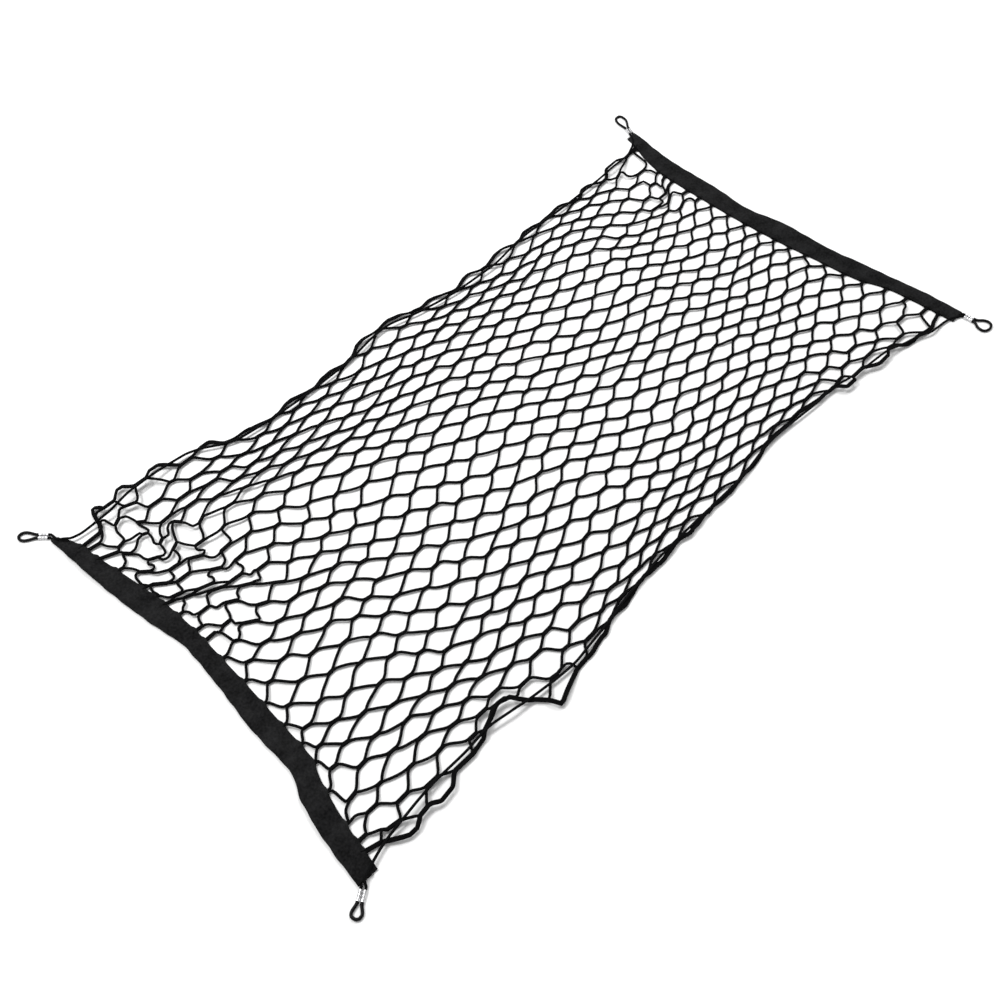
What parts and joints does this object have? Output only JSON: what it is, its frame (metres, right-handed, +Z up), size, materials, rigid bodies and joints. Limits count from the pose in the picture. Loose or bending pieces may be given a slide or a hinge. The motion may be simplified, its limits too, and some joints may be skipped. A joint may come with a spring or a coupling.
{
  "type": "cargo net with elastic mesh, end sleeves and corner hook-on loops, lying loose",
  "caption": "Elastic hexagonal-mesh cargo net lying loose, with folded fabric end sleeves, cords along both long edges and a coated loop crimped on at each corner.",
  "frame": {"origin": "the floor under the middle of the box around the whole net with its loops", "axes": "+X runs along the net from the left sleeve to the right one, +Y across it, +Z up off the floor"},
  "size_m": [1.1568, 0.7039, 0.0148],
  "materials": {
    "net_cord": "braided black elastic cord, matte",
    "sleeve_fabric": "plain woven charcoal polyester, matte, faintly creased",
    "edge_cord": "smooth braided black elastic cord",
    "crimp_metal": "pressed bright aluminium tube",
    "coated_loop": "black vinyl coating with a soft gloss"
  },
  "bodies": {
    "root": {"net": "net_cord", "sleeve_left": "sleeve_fabric", "sleeve_right": "sleeve_fabric", "sleeve_cord_left": "edge_cord", "sleeve_cord_right": "edge_cord", "edge_cord_high": "edge_cord", "edge_cord_low": "edge_cord", "barrel_sleeve_left_high": "crimp_metal", "barrel_edge_left_high": "crimp_metal", "barrel_sleeve_left_low": "crimp_metal", "barrel_edge_left_low": "crimp_metal", "barrel_sleeve_right_low": "crimp_metal", "barrel_edge_right_low": "crimp_metal", "barrel_sleeve_right_high": "crimp_metal", "barrel_edge_right_high": "crimp_metal", "loop_left_high": "coated_loop", "loop_left_low": "coated_loop", "loop_right_low": "coated_loop", "loop_right_high": "coated_loop"}
  },
  "joints": []
}
